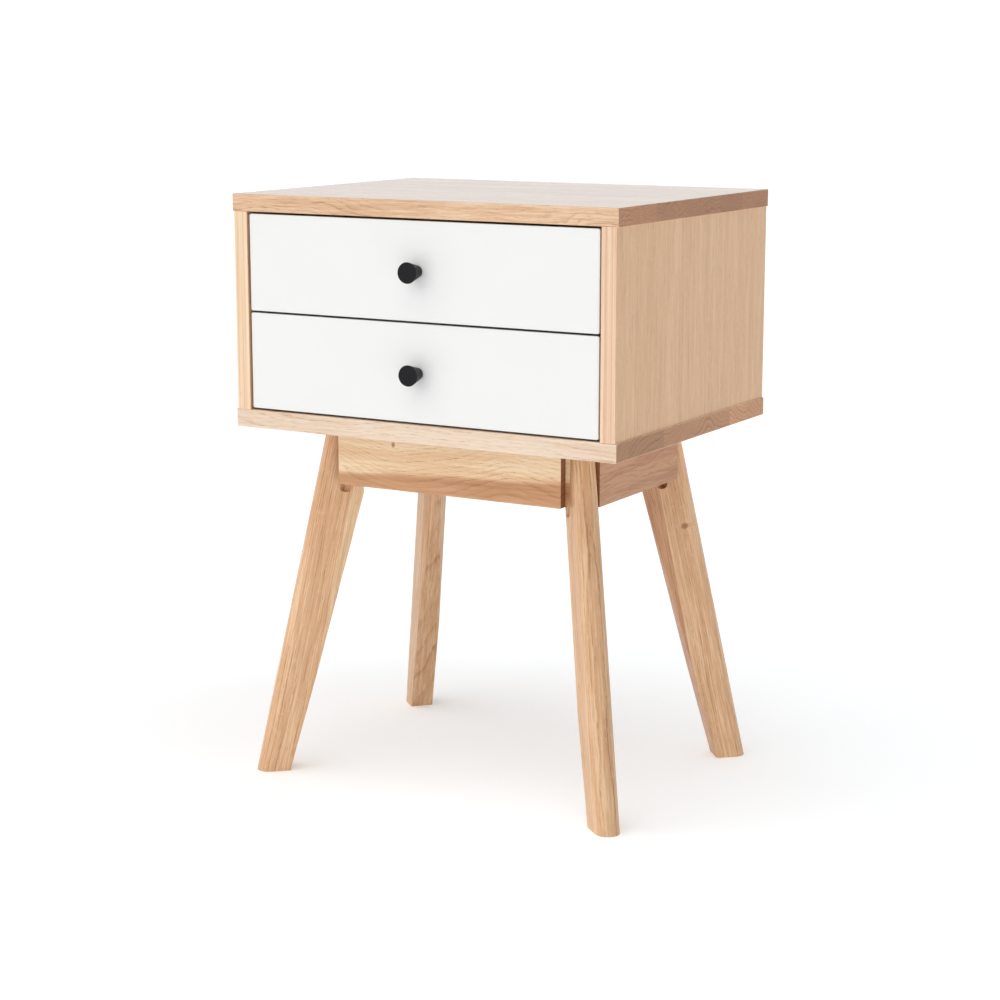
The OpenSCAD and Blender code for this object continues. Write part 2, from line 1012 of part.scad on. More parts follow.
drawer_front(upper_z);  // upper_front
drawer_side(upper_z, -1);  // upper_side_left
drawer_side(upper_z, 1);  // upper_side_right
drawer_back(upper_z);  // upper_back
drawer_bottom(upper_z);  // upper_bottom
drawer_dowels(upper_z);  // upper_dowels
drawer_box_screws(upper_z);  // upper_box_screws
drawer_knob(upper_z);  // upper_knob
drawer_knob_screw(upper_z);  // upper_knob_screw
runner_drawer_screws(upper_z);  // upper_runner_screws

drawer_front(lower_z);  // lower_front
drawer_side(lower_z, -1);  // lower_side_left
drawer_side(lower_z, 1);  // lower_side_right
drawer_back(lower_z);  // lower_back
drawer_bottom(lower_z);  // lower_bottom
drawer_dowels(lower_z);  // lower_dowels
drawer_box_screws(lower_z);  // lower_box_screws
drawer_knob(lower_z);  // lower_knob
drawer_knob_screw(lower_z);  // lower_knob_screw
runner_drawer_screws(lower_z);  // lower_runner_screws

rail_case(upper_z, -1);  // upper_rail_case_left
rail_case(upper_z, 1);  // upper_rail_case_right
rail_middle(upper_z, -1);  // upper_rail_middle_left
rail_middle(upper_z, 1);  // upper_rail_middle_right
rail_drawer(upper_z, -1);  // upper_rail_drawer_left
rail_drawer(upper_z, 1);  // upper_rail_drawer_right
rail_case(lower_z, -1);  // lower_rail_case_left
rail_case(lower_z, 1);  // lower_rail_case_right
rail_middle(lower_z, -1);  // lower_rail_middle_left
rail_middle(lower_z, 1);  // lower_rail_middle_right
rail_drawer(lower_z, -1);  // lower_rail_drawer_left
rail_drawer(lower_z, 1);  // lower_rail_drawer_right
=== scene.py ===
import math

import bpy
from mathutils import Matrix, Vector


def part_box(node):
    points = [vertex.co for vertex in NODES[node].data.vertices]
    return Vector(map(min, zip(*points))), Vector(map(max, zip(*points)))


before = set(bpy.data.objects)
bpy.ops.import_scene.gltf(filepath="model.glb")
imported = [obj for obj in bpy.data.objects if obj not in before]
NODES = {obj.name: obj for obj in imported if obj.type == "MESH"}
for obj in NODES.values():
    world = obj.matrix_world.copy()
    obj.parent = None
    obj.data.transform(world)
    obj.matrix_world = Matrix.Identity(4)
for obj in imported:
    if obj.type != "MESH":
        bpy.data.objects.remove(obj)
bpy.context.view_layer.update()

# The looks of a small oak bedside cabinet with two white drawers. Everything is in metres, in the
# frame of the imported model; inside the materials lengths are in millimetres, as on a drawing.

MM = 1000.0                          # millimetres in a metre

X, Y, Z = Vector((1, 0, 0)), Vector((0, 1, 0)), Vector((0, 0, 1))


# ---------- materials: the node tree ----------

class Graph:
    """One material's node tree. Inputs are numbers, vectors, colours or other nodes' outputs."""

    def __init__(self, name):
        self.material = bpy.data.materials.new(name)
        self.material.use_nodes = True
        self.tree = self.material.node_tree
        self.tree.nodes.clear()
        self.shader = self.add("ShaderNodeBsdfPrincipled")
        output = self.add("ShaderNodeOutputMaterial")
        self.tree.links.new(self.shader.outputs["BSDF"], output.inputs["Surface"])
        coordinates = self.add("ShaderNodeTexCoord")
        self.normal = coordinates.outputs["Normal"]
        self.point = self.scaled(coordinates.outputs["Object"], MM)

    def add(self, kind, **settings):
        node = self.tree.nodes.new(kind)
        for name, value in settings.items():
            setattr(node, name, value)
        return node

    def put(self, socket, value):
        """Links another node's output to the socket, or sets the socket's own value."""
        if isinstance(value, bpy.types.NodeSocket):
            self.tree.links.new(value, socket)
        elif isinstance(value, Vector):
            socket.default_value = tuple(value)
        else:
            socket.default_value = value

    def put_all(self, node, values):
        for socket, value in zip(node.inputs, values):
            self.put(socket, value)

    def math(self, operation, *values, clamp=False):
        node = self.add("ShaderNodeMath", operation=operation, use_clamp=clamp)
        self.put_all(node, values)
        return node.outputs["Value"]

    def plus(self, *values):
        total = values[0]
        for value in values[1:]:
            total = self.math("ADD", total, value)
        return total

    def minus(self, a, b):
        return self.math("SUBTRACT", a, b)

    def times(self, *values):
        product = values[0]
        for value in values[1:]:
            product = self.math("MULTIPLY", product, value)
        return product

    def clamped(self, value, factor=1.0):
        """The value times a factor, kept between 0 and 1."""
        return self.math("MULTIPLY", value, factor, clamp=True)

    def centred(self, value):
        """A value between 0 and 1, moved to lie around 0."""
        return self.minus(value, 0.5)

    def between(self, share, low, high):
        """The low value at a share of 0, the high one at 1."""
        return self.plus(low, self.times(share, high - low))

    def vector(self, operation, *values, scale=None):
        node = self.add("ShaderNodeVectorMath", operation=operation)
        self.put_all(node, values)
        if scale is not None:
            self.put(node.inputs["Scale"], scale)
        return node.outputs["Value" if operation in ("DOT_PRODUCT", "LENGTH") else "Vector"]

    def scaled(self, vector, factor):
        """A vector or a colour times a number."""
        return self.vector("SCALE", vector, scale=factor)

    def dot(self, a, b):
        return self.vector("DOT_PRODUCT", a, b)

    def join(self, x, y, z):
        node = self.add("ShaderNodeCombineXYZ")
        self.put_all(node, (x, y, z))
        return node.outputs["Vector"]

    def split(self, vector):
        node = self.add("ShaderNodeSeparateXYZ")
        self.put(node.inputs[0], vector)
        return list(node.outputs)

    def noise(self, vector, detail=2.0, roughness=0.5):
        """Smooth noise from 0 to 1 with features about one unit of the vector in size."""
        node = self.add("ShaderNodeTexNoise")
        self.put(node.inputs["Vector"], vector)
        node.inputs["Scale"].default_value = 1.0
        node.inputs["Detail"].default_value = detail
        node.inputs["Roughness"].default_value = roughness
        return node.outputs["Fac"]

    def speckle(self, per_mm, detail=2.0, roughness=0.5):
        """Noise with so many features in a millimetre."""
        return self.noise(self.scaled(self.point, per_mm), detail, roughness)

    def random(self, number):
        """Three random numbers from 0 to 1 for each whole number."""
        node = self.add("ShaderNodeTexWhiteNoise", noise_dimensions="1D")
        self.put(node.inputs["W"], number)
        return self.split(node.outputs["Color"])

    def rise(self, value, low, high):
        """A smooth step from 0 at low to 1 at high; low may be the higher one."""
        node = self.add("ShaderNodeMapRange", interpolation_type="SMOOTHSTEP")
        self.put(node.inputs["Value"], value)
        self.put(node.inputs["From Min"], min(low, high))
        self.put(node.inputs["From Max"], max(low, high))
        node.inputs["To Min"].default_value = 0.0 if low < high else 1.0
        node.inputs["To Max"].default_value = 1.0 if low < high else 0.0
        return node.outputs["Result"]

    def ramp(self, value, stops):
        """A smooth curve through (position, level or colour) pairs."""
        node = self.add("ShaderNodeValToRGB")
        self.put(node.inputs["Fac"], value)
        band = node.color_ramp
        band.interpolation = "EASE"
        while len(band.elements) < len(stops):
            band.elements.new(0.5)
        for element, (position, level) in zip(band.elements, stops):
            element.position = position
            element.color = level if isinstance(level, tuple) else (level, level, level, 1)
        return node.outputs["Color"]

    def mix(self, share, a, b):
        """Colour a with a share of colour b."""
        node = self.add("ShaderNodeMix", data_type="RGBA")
        self.put(node.inputs["Factor"], share)
        self.put(node.inputs[6], a)
        self.put(node.inputs[7], b)
        return node.outputs[2]

    def edge_distance(self, low, high):
        """How far a point on the surface of a box is from the box's nearest edge."""
        away = []
        for value, a, b in zip(self.split(self.point), low * MM, high * MM):
            away.append(self.math("MINIMUM", self.minus(value, a), self.minus(b, value)))
        x, y, z = away
        least, most = self.math("MINIMUM", x, y), self.math("MAXIMUM", x, y)
        return self.math("MAXIMUM", least, self.math("MINIMUM", most, z))

    def facing(self, direction):
        """How squarely the surface faces along the direction or against it, from 0 to 1."""
        return self.math("ABSOLUTE", self.dot(self.normal, direction))

    def finish(self, colour, roughness, height=None, relief=0.1, **constants):
        """Links the shader; height is in units of relief millimetres. Constants are set plainly."""
        self.put(self.shader.inputs["Base Color"], colour)
        self.put(self.shader.inputs["Roughness"], roughness)
        for name, value in constants.items():
            self.shader.inputs[name.replace("_", " ")].default_value = value
        if height is not None:
            bump = self.add("ShaderNodeBump")
            bump.inputs["Strength"].default_value = 1.0
            bump.inputs["Distance"].default_value = relief / MM
            self.put(bump.inputs["Height"], height)
            self.tree.links.new(bump.outputs["Normal"], self.shader.inputs["Normal"])
        return self.material


def srgb(red, green, blue):
    """Linear colour from the 0 to 255 values seen on a screen."""
    def linear(value):
        value /= 255
        return value / 12.92 if value <= 0.04045 else ((value + 0.055) / 1.055) ** 2.4
    return (linear(red), linear(green), linear(blue), 1)


# ---------- materials: oak ----------

OAK = {
    "pale": srgb(240, 208, 174),     # late wood
    "mid": srgb(226, 186, 146),      # early wood
    "deep": srgb(190, 142, 100),     # the darkest bands
    "pore": srgb(146, 100, 66),
    "end": srgb(192, 152, 120),      # end grain
    "ring": 4.2,                     # width of a growth ring
    "figure": 22.0,                  # how far the rings wander along the board
    "swirl": 2.6,                    # the same for small waves
    "pith": (30.0, -75.0),           # middle of the tree, across the board
    "contrast": 1.0,                 # strength of the rings, streaks, fibres and pores
    "cloud": 1.0,                    # strength of the broad soft bands
    "crown": 1.0,                    # painted shade: brightness of an upper face, darkened for the light that falls on it from above
    "gloss": 0.45,                   # roughness between the pores
    "coat": 0.12,                    # clear varnish on top
}
MARKS = {                            # length and width of a mark, detail and roughness of noise
    "wander": (150, 70, 1.0, 0.5),   # slow bends of the rings
    "wave": (42, 13, 2.0, 0.5),      # their small waves
    "ripple": (14, 5, 2.0, 0.5),     # their smallest ones
    "streak": (85, 2.6, 3.0, 0.6),
    "fibre": (26, 0.9, 3.0, 0.65),
    "broad": (240, 21, 2.0, 0.5),    # broad soft bands
    "blotch": (60, 9, 2.0, 0.5),
    "pore": (9, 0.75, 1.0, 0.5),
    "lipping": (300, 2.4, 2.0, 0.5),
}
DEPTH_START = 0.3                    # how dark the wood is without any marks
SHARP_MARKS = {"ring": 0.42, "streak": 0.75, "fibre": 0.6}     # weights, times the contrast
SOFT_MARKS = {"broad": 0.7, "blotch": 0.35}                    # weights, times the cloud
BOARD_STEP = 137.0                   # shift along the grain from one seed to the next

# Pairs are the values at the two ends of a random number or of a smooth step.
FACING = (0.6, 0.9)                  # cosine from which a face looks in a direction, and fully so
CUT_FACING = (0.6, 0.95)             # the same for a cut across the grain
SIDE_FACING = (0.2, 0.4)             # and for the side of a leg with painted light and shade
STAVE_SHIFT = (0.0, 900.0)           # a stave's wood along the grain
STAVE_PITH_SIDE = (-65.0, 65.0)      # its pith, across the board
STAVE_PITH_DEPTH = (-35.0, -105.0)   # and below the face
STAVE_TONE = (0.9, 1.07)             # brightness of its face
STAVE_END_TONE = (0.8, 1.16)         # and of its end
RING_PROFILE = [(0, 0.0), (0.1, 1.0), (0.38, 0.3), (0.8, 0.0), (1, 0.0)]
RING_STRENGTH = (0.3, 1.1)
RING_DRIFT = 1.6                     # rings that the wander adds, for rings of uneven width
PORE_NOISE = (0.12, 0.42)            # noise from which a pore shows, and fully so
RAY_NOISE = (0.62, 0.74)             # the same for a ray
RAY_TURN = 105.0                     # how many rays fit around the tree in each radian
RAY_LENGTH, RAY_DEPTH = 7, 16        # their size along the grain, and outward from the pith
KNOT_SQUEEZE = 0.4                   # how much shorter a knot is along the grain
KNOT_SWELL = 3.2                     # how far it pushes the rings away, in its own radii
KNOT_FADE = 0.16                     # how fast this fades with the square of the distance
KNOT_CORE = (1.9, 0.5)               # distance from which its own wood shows, and fully so
KNOT_COLOURS = (srgb(164, 112, 72), srgb(112, 70, 42))
HEART_EDGE = (-2.5, 4.5)             # depth below the line from which it shows, and fully so
HEART_COLOURS = (srgb(208, 152, 106), srgb(172, 116, 74))
LIPPING_STOPS = (0.2, 0.5, 0.85)     # places of the three colours in the noise
END_TONES = (1.22, 0.68)             # brightness of the lighter and the darker end grain
WORN_AND_LIT_EDGE = (2.2, 0.5)               # distance from an edge at which wear and a painted highlight show, and fully so
WORN_AND_LIT_TONE = 1.12                     # brightness of worn wood with its painted edge highlight


def wood_noise(g, grain, mark):
    """Noise around 0 with one kind of mark. grain is a point along and twice across the grain."""
    length, width, detail, roughness = MARKS[mark]
    a, b, c = grain
    stretched = g.join(g.times(a, 1 / length), g.times(b, 1 / width), g.times(c, 1 / width))
    return g.times(g.centred(g.noise(stretched, detail, roughness)), 2.0)


def stave_space(g, a, b, seed, staves, pith):
    """The start of the grain, the pith, and the tones of face and end for each glued stave."""
    index = g.plus(float(seed), *(g.math("GREATER_THAN", b, line) for line in staves))
    first, second, third = g.random(index)
    a = g.plus(a, g.between(first, *STAVE_SHIFT))
    pith_b = g.plus(pith[0], g.between(first, *STAVE_PITH_SIDE))
    pith_c = g.between(second, *STAVE_PITH_DEPTH)
    return a, pith_b, pith_c, g.between(third, *STAVE_TONE), g.between(second, *STAVE_END_TONE)


def knot_field(g, knot, along):
    """Distance from a knot's axis in its own radii; it grows faster along the grain."""
    place, axis, radius = knot
    away = g.vector("SUBTRACT", g.point, Vector(place))
    axis = Vector(axis).normalized()
    flat = g.vector("SUBTRACT", away, g.scaled(axis, g.dot(away, axis)))
    stretch = g.scaled(along, g.times(g.dot(flat, along), KNOT_SQUEEZE))
    return g.math("DIVIDE", g.vector("LENGTH", g.vector("ADD", flat, stretch)), radius)


def push_by_knots(g, radius, knots, along, ripple):
    """The ring radius as knots push it away, and how deep inside a knot each point is."""
    core = 0.0
    for knot in knots:
        reach = knot_field(g, knot, along)
        swell = g.math("EXPONENT", g.times(reach, reach, -KNOT_FADE))
        radius = g.plus(radius, g.times(swell, KNOT_SWELL * knot[2]))
        uneven_reach = g.plus(reach, g.times(ripple, 0.5))
        core = g.math("MAXIMUM", core, g.rise(uneven_reach, *KNOT_CORE))
    return radius, core


def growth_rings(g, radius, drift):
    """Early wood of each ring: a sharp start and a fading end, of a random strength and width."""
    turns = g.plus(radius, g.times(drift, RING_DRIFT))
    strength, _, _ = g.random(g.math("FLOOR", turns))
    band = g.ramp(g.math("FRACT", turns), RING_PROFILE)
    return g.times(band, g.between(strength, *RING_STRENGTH))


def wood_rays(g, grain, radius):
    """Pale flecks that run outward from the pith and a little way along the grain."""
    a, b, c = grain
    around = g.times(g.math("ARCTAN2", b, c), RAY_TURN)
    fleck = g.join(g.times(a, 1 / RAY_LENGTH), around, g.times(radius, 1 / RAY_DEPTH))
    return g.rise(g.noise(fleck, 1.0), *RAY_NOISE)


def grain_depth(g, look, ring, noise):
    """How dark the wood between the pores is, from 0 for the palest to 1."""
    marks = {**noise, "ring": ring}
    depth = DEPTH_START
    for weights, strength in ((SHARP_MARKS, look["contrast"]), (SOFT_MARKS, look["cloud"])):
        for mark, weight in weights.items():
            depth = g.plus(depth, g.times(marks[mark], weight * strength))
    return depth


def with_lipping(g, colour, grain, colours):
    """Fine straight stripes in three colours on the narrow front and back edges of a panel."""
    level = g.plus(0.5, g.times(wood_noise(g, grain, "lipping"), 1.1))
    stripes = g.ramp(level, list(zip(LIPPING_STOPS, colours)))
    on_edge = g.rise(g.facing(Y), *FACING)
    return g.mix(g.times(on_edge, 0.75), colour, stripes)


def with_heart(g, colour, heart, start, level, depth, noise):
    """An orange stripe of heartwood below a sloping, slightly wavy line."""
    height, slope = heart
    line = g.plus(height, g.times(start, slope),
                  g.times(noise["wander"], 2.0), g.times(noise["ripple"], 0.6))
    below = g.rise(g.minus(line, level), *HEART_EDGE)
    return g.mix(g.times(below, 0.85), colour, g.mix(g.clamped(depth), *HEART_COLOURS))


def with_painted_side(g, colour, painted_side):
    """Painted light and shade: another tint on the faces that turn to one side, lighter or darker as
    the light falls there.
    """
    side, tint = painted_side
    turned = g.rise(g.dot(g.normal, side), *SIDE_FACING)
    return g.mix(turned, colour, g.vector("MULTIPLY", colour, Vector(tint)))


def end_grain(g, look, ring, ray, fibre, tone):
    """The colour of a face cut across the grain."""
    lighter, darker = (g.scaled(look["end"][:3], level) for level in END_TONES)
    marks = g.clamped(g.plus(g.times(ring, 0.7), g.times(fibre, 0.5), 0.2))
    end = g.mix(marks, lighter, darker)
    return g.scaled(g.mix(g.times(ray, 0.5), end, lighter), tone)


def with_wear_and_highlight(g, colour, box, ripple):
    """Lighter wood along the edges of a board: light wear, and a painted highlight where the eased
    edges catch the light.
    """
    worn_and_lit = g.rise(g.plus(g.edge_distance(*box), ripple), *WORN_AND_LIT_EDGE)
    return g.mix(g.times(worn_and_lit, 0.3), colour, g.scaled(colour, WORN_AND_LIT_TONE))


def oak(name, along, across, seed, staves=(), knots=(), heart=None, lipping=(), painted_side=None,
        box=None, **changes):
    """Solid oak. The grain runs along one direction; rings, rays and pores are solid, so that every
    face of a board shows the cut that it would have. Lengths are in millimetres.

    staves: glue lines in the across direction    knots: (place, axis, radius) of each
    heart: height and slope of a stripe's top     lipping: three colours for the narrow edges
    painted_side: a direction, and a tint for the faces that turn to it, painted to stand in for
    light and shade
    box: the board's box in metres, for wear and a painted highlight on its edges
    changes: other values than in OAK"""
    look = {**OAK, **changes}
    g = Graph(name)
    along, across = Vector(along).normalized(), Vector(across).normalized()
    start, level, depthwise = (g.dot(g.point, d) for d in (along, across, along.cross(across)))
    a = g.plus(start, seed * BOARD_STEP)
    face_tone, end_tone, (pith_b, pith_c) = 1.0, 1.0, look["pith"]
    if staves:
        a, pith_b, pith_c, face_tone, end_tone = stave_space(g, a, level, seed, staves, look["pith"])
    b, c = g.minus(level, pith_b), g.minus(depthwise, pith_c)
    grain = (a, b, c)
    noise = {mark: wood_noise(g, grain, mark) for mark in MARKS if mark != "lipping"}

    radius = g.math("SQRT", g.plus(g.times(b, b), g.times(c, c)))
    radius = g.plus(radius, g.times(noise["wander"], look["figure"]),
                    g.times(noise["wave"], look["swirl"]), g.times(noise["ripple"], 0.5))
    radius, core = push_by_knots(g, radius, knots, along, noise["ripple"])
    ring = growth_rings(g, g.times(radius, 1 / look["ring"]), noise["wander"])
    ray = wood_rays(g, grain, radius)
    pore = g.times(g.rise(noise["pore"], *PORE_NOISE), g.plus(0.25, ring))

    depth = grain_depth(g, look, ring, noise)
    colour = g.ramp(depth, [(0.0, look["pale"]), (0.5, look["mid"]), (1.0, look["deep"])])
    colour = g.mix(g.clamped(pore, 0.5 * look["contrast"]), colour, look["pore"])
    colour = g.mix(g.times(ray, 0.25), colour, look["pale"])
    if lipping:
        colour = with_lipping(g, colour, grain, lipping)
    if heart:
        colour = with_heart(g, colour, heart, start, level, depth, noise)
    if painted_side:
        colour = with_painted_side(g, colour, painted_side)
    if knots:
        colour = g.mix(g.times(core, 0.85), colour, g.mix(g.times(ring, 0.5), *KNOT_COLOURS))

    cut = g.rise(g.facing(along), *CUT_FACING)
    colour = g.mix(cut, colour, end_grain(g, look, ring, ray, noise["fibre"], end_tone))
    if box:
        colour = with_wear_and_highlight(g, colour, box, noise["ripple"])
    # Painted shade: faces that look upward are darkened by a set share.
    upward = g.rise(g.dot(g.normal, Z), *FACING)
    crown = g.between(upward, 1.0, look["crown"])
    colour = g.scaled(colour, g.times(face_tone, crown))

    roughness = g.plus(look["gloss"], g.times(pore, 0.25), g.times(cut, 0.15),
                       g.times(noise["fibre"], 0.08))
    height = g.minus(g.times(noise["fibre"], 0.2), g.plus(pore, g.times(ring, 0.2)))
    g.put(g.shader.inputs["Coat Weight"], g.times(g.minus(1.0, cut), look["coat"]))
    return g.finish(colour, roughness, height, relief=0.14,
                    Specular_IOR_Level=0.4, Coat_Roughness=0.2)


# ---------- materials: lacquer, plywood and steel ----------

LACQUER_PEEL = 0.7                   # soft bumps in a millimetre
LACQUER_EDGE = (1.6, 0.2)            # distance from an edge at which it greys, and fully so
GAP_SHADE_DEPTH = (1.2, 2.4)           # depth behind the face at which the painted gap shade starts, and is full
GAP_SHADE_FACING = (0.5, 0.2)              # cosine to the front below which an edge gets painted gap shade, and fully so
PLY_PAIR = 2.7                       # thickness of two layers of plywood
PLY_PROFILE = [(0, 0.1), (0.42, 0.2), (0.5, 0.9), (0.92, 1.0), (1, 0.1)]
PLY_FACING = (0.6, 0.3)              # cosine to the face below which the layers show, and fully so
KNOB_GRIT = 2.2                      # grains in a millimetre
KNOB_TURNING = 5.0                   # radians of the turning rings for each millimetre
STEEL_MOTTLE = 0.35                  # spots in a millimetre
STEEL_LINES = (3.0, 0.1)             # drawing lines in a millimetre across them, and along them


def white_lacquer(name, box, seed):
    """Satin white paint on the front of a board, with painted shade on the edges behind the face,
    for the dark gaps between the fronts.
    """
    g = Graph(name)
    peel = g.speckle(LACQUER_PEEL)
    cloud = g.noise(g.vector("ADD", g.scaled(g.point, 1 / 60), Vector((seed, 0, 0))), 3.0)
    edge = g.rise(g.edge_distance(*box), *LACQUER_EDGE)
    _, y, _ = g.split(g.point)
    behind = g.rise(g.minus(y, box[0].y * MM), *GAP_SHADE_DEPTH)
    gap_shade = g.times(behind, g.rise(g.facing(Y), *GAP_SHADE_FACING))
    colour = g.mix(cloud, srgb(240, 239, 237), srgb(244, 243, 241))
    colour = g.mix(g.times(edge, 0.25), colour, srgb(228, 226, 222))
    # Painted shade: the edges behind the face are grey-brown, for the dark gaps around the drawers.
    colour = g.mix(gap_shade, colour, srgb(186, 179, 171))
    roughness = g.between(cloud, 0.36, 0.46)
    return g.finish(colour, roughness, peel, relief=0.01, Specular_IOR_Level=0.4)


def black_knob(name, box):
    """Black stained wood: fine grit, and turning rings on the flat face."""
    g = Graph(name)
    grit = g.speckle(KNOB_GRIT, 3.0, 0.7)
    centre = (box[0] + box[1]) / 2 * MM
    x, _, z = g.split(g.vector("SUBTRACT", g.point, centre))
    radius = g.math("SQRT", g.plus(g.times(x, x), g.times(z, z)))
    turning = g.math("SINE", g.times(radius, KNOB_TURNING))
    shade = g.plus(g.times(grit, 0.8), g.times(turning, 0.12))
    colour = g.mix(shade, srgb(10, 10, 12), srgb(32, 31, 34))
    roughness = g.between(grit, 0.4, 0.6)
    height = g.plus(grit, g.times(turning, 0.35))
    return g.finish(colour, roughness, height, relief=0.06, Specular_IOR_Level=0.2)


def birch(name, thickness_axis, box):
    """Birch plywood: pale faces, and layers where the thickness shows."""
    g = Graph(name)
    low, _ = box
    depth = g.minus(g.dot(g.point, thickness_axis), low.dot(thickness_axis) * MM)
    ply = g.ramp(g.math("FRACT", g.times(depth, 1 / PLY_PAIR)), PLY_PROFILE)
    x, y, z = g.split(g.point)
    grain = g.noise(g.join(g.times(x, 0.4), g.times(y, 1 / 60), g.times(z, 0.4)), 4.0, 0.6)
    cloud = g.speckle(1 / 45)
    colour = g.mix(grain, srgb(244, 224, 196), srgb(222, 194, 160))
    colour = g.scaled(colour, g.between(cloud, 0.95, 1.05))
    on_edge = g.rise(g.facing(thickness_axis), *PLY_FACING)
    colour = g.mix(g.times(on_edge, ply, 0.75), colour, srgb(186, 146, 104))
    roughness = g.between(grain, 0.5, 0.62)
    height = g.plus(grain, g.times(on_edge, ply, -0.5))
    return g.finish(colour, roughness, height, relief=0.06)


def metal(name, colour, roughness, along=Y):
    """Rolled or plated steel with faint drawing lines and a mottled coat."""
    g = Graph(name)
    across_lines, along_lines = STEEL_LINES
    per_mm = Vector((1, 1, 1)) * across_lines - along * (across_lines - along_lines)
    lines = g.noise(g.vector("MULTIPLY", g.point, per_mm))
    mottle = g.speckle(STEEL_MOTTLE, 3.0, 0.6)
    brightness = g.between(mottle, 0.9, 1.1)
    roughness = g.plus(roughness, g.times(g.centred(mottle), 0.25), g.times(g.centred(lines), 0.1))
    return g.finish(g.scaled(colour[:3], brightness), roughness, lines, relief=0.01, Metallic=1.0)


# ---------- the parts' materials ----------

PANELS = ("top_panel", "bottom_panel")
VENEER = {"ring": 2.6, "figure": 2.0, "swirl": 0.8, "pith": (260.0, -240.0)}    # straight grain
# End grain of the aprons: real end grain, darkened further as painted shade for the narrow gaps
# beside the legs.
APRON_END_SHADED = srgb(140, 92, 62)
APRONS = {"apron_front": X, "apron_back": X, "apron_left": Y, "apron_right": Y}  # along the grain
DRAWERS = {"upper": 2.0, "lower": 5.0}          # with each front's place in the lacquer's noise
BOX_PIECES = {"side_left": X, "side_right": X, "back": Y, "bottom": Z}   # across the thickness
LIPPINGS = {
    "left": (srgb(255, 234, 205), srgb(250, 220, 188), srgb(236, 196, 158)),
    "right": (srgb(250, 224, 198), srgb(240, 205, 176), srgb(232, 185, 155)),
}

LEG_TURN = math.radians(42)          # the legs' direction from the side-to-side one
LEG_LEAN = 0.22                      # their outward run for each unit of height
LEG_COLOURS = {"pale": srgb(240, 201, 161), "mid": srgb(220, 173, 130), "deep": srgb(184, 134, 94)}
LEGS = {                             # node: outward in X, in Y, and brightness of the wood, lowered as painted shade on the back left leg under the case and on the front right leg
    "leg_front_left": (-1, -1, 1.0),
    "leg_front_right": (1, -1, 0.94),
    "leg_back_left": (-1, 1, 0.84),
    "leg_back_right": (1, 1, 1.0),
}
LEG_PAINTED_SIDES = {                       # painted light and shade on a leg's inner side: a painted highlight on the front left leg, painted shade on the back right one, where it isn't plain
    "leg_front_left": (1.14, 1.28, 1.36),
    "leg_back_right": (0.74, 0.64, 0.61),
}
LEG_KNOTS = {
    "leg_back_right": (((170, 106, 265), (0.67, -0.74, 0), 3.4),
                       ((179, 128, 71), (0.74, 0.67, 0), 1.6)),
}


def finish_with(node, material):
    """Gives a CAD node its material."""
    slots = NODES[node].data.materials
    slots.clear()
    slots.append(material)


def paint_case():
    # The top's upper face is darkened as painted shade.
    finish_with("top_panel", oak(
        "oak_top", X, Y, seed=3, staves=(-132, -85, -20, 62, 118), box=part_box("top_panel"),
        pale=srgb(230, 194, 158), mid=srgb(215, 171, 132), deep=srgb(182, 132, 92),
        end=srgb(178, 130, 98), swirl=6.0, crown=0.74, coat=1.0))
    finish_with("bottom_panel", oak(
        "oak_bottom", X, Y, seed=11, staves=(-140, -62, 8, 95, 140), box=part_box("bottom_panel"),
        pale=srgb(250, 228, 205), mid=srgb(243, 213, 185), deep=srgb(220, 180, 146),
        end=srgb(190, 142, 106), contrast=0.8))
    for side, seed in (("left", 5), ("right", 7)):
        node = f"side_panel_{side}"
        finish_with(node, oak(
            f"oak_{node}", Z, Y, seed, lipping=LIPPINGS[side], box=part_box(node),
            pale=srgb(234, 193, 152), mid=srgb(223, 178, 136), deep=srgb(197, 149, 107),
            contrast=0.7, cloud=0.5, **VENEER))
    finish_with("back_panel", oak("oak_back", Z, X, seed=9, contrast=0.6, **VENEER))


def paint_base():
    finish_with("apron_front", oak(
        "oak_apron_front", X, Z, seed=20, heart=(338.5, 0.049), knots=(((-65, -110, 366), Y, 2.2),),
        box=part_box("apron_front"), pale=srgb(248, 223, 189), mid=srgb(237, 201, 160),
        deep=srgb(206, 160, 118), end=APRON_END_SHADED, swirl=1.4, contrast=0.8))
    # Painted shade: the back and side aprons get darker colours than the front one, for their place
    # in the shade under the case.
    for seed, node in enumerate(("apron_back", "apron_left", "apron_right"), start=21):
        finish_with(node, oak(
            f"oak_{node}", APRONS[node], Z, seed, box=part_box(node),
            pale=srgb(198, 149, 108), mid=srgb(179, 126, 86), deep=srgb(156, 102, 68),
            end=APRON_END_SHADED, contrast=0.8))


def dimmed(colour, tone):
    return tuple(tone * level for level in colour[:3]) + (1,)


def paint_legs():
    for seed, (node, (out_x, out_y, tone)) in enumerate(LEGS.items(), start=30):
        lean = Vector((out_x * math.cos(LEG_TURN), out_y * math.sin(LEG_TURN), 0))
        # Painted shade: a leg with a brightness below 1 gets darker colours for the shade it stands
        # in.
        colours = {shade: dimmed(colour, tone) for shade, colour in LEG_COLOURS.items()}
        painted_side = (-lean, LEG_PAINTED_SIDES[node]) if node in LEG_PAINTED_SIDES else None
        finish_with(node, oak(
            f"oak_{node}", lean * LEG_LEAN - Z, lean + Z * LEG_LEAN, seed,
            knots=LEG_KNOTS.get(node, ()), painted_side=painted_side, pore=srgb(160, 112, 74),
            ring=2.4, figure=2.5, swirl=0.5, pith=(-20.0, -60.0), cloud=0.5, **colours))


